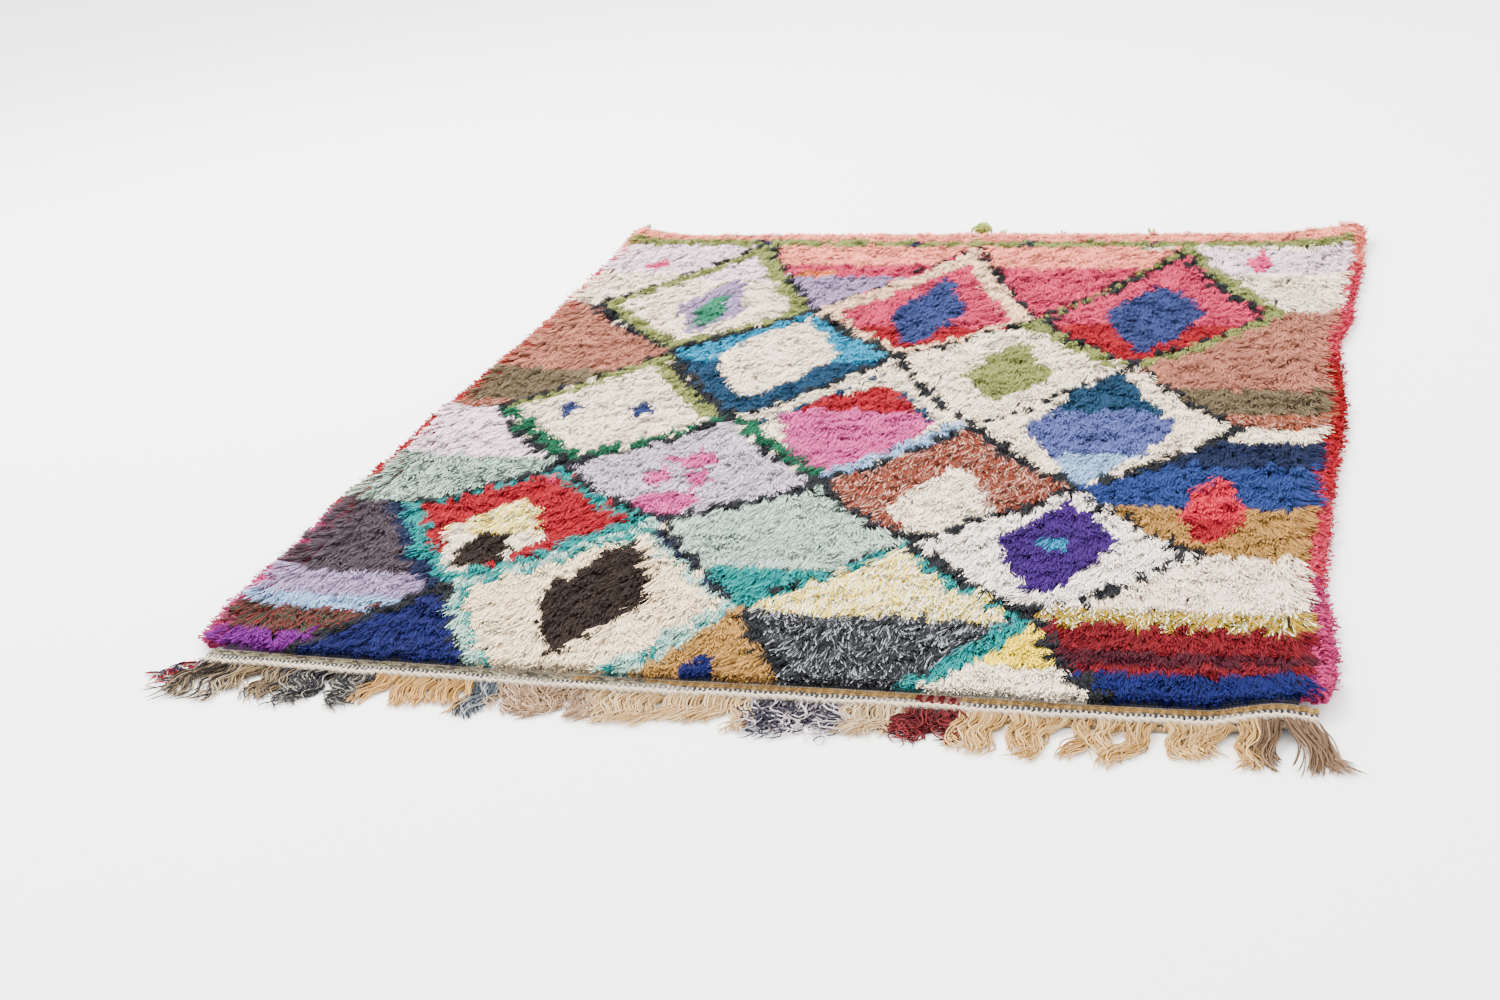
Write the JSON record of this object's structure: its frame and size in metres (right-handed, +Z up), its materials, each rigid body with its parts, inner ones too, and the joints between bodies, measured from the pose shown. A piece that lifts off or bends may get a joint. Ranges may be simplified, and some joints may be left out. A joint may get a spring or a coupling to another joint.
{
  "type": "boucherouite rug",
  "caption": "Flat rectangular rag-pile rug with wrapped sides, a woven heading with a sewn cord and a fringe at one end, and a hem with a knotted tie at the other.",
  "frame": {"origin": "middle of the rug's underside, on the floor", "axes": "+X across the rug, +Y along the rug from the fringed end to the hemmed end, +Z up out of the pile"},
  "size_m": [1.4424, 1.962, 0.0333],
  "materials": {
    "knotted_pile": "shaggy rag pile, matte",
    "selvedge_wrap": "wrapped rag yarn, matte",
    "heading_weave": "flat weave, matte",
    "cream_cord": "twisted wool cord, matte",
    "warp_ends": "loose wool warp ends, matte",
    "olive_rag": "turned rag strip, matte"
  },
  "bodies": {
    "root": {"pile_field": "knotted_pile", "selvedge_left": "selvedge_wrap", "selvedge_right": "selvedge_wrap", "near_heading": "heading_weave", "sewn_cord": "cream_cord", "warp_fringe": "warp_ends", "far_hem": "olive_rag", "hem_tie": "olive_rag"}
  },
  "joints": []
}
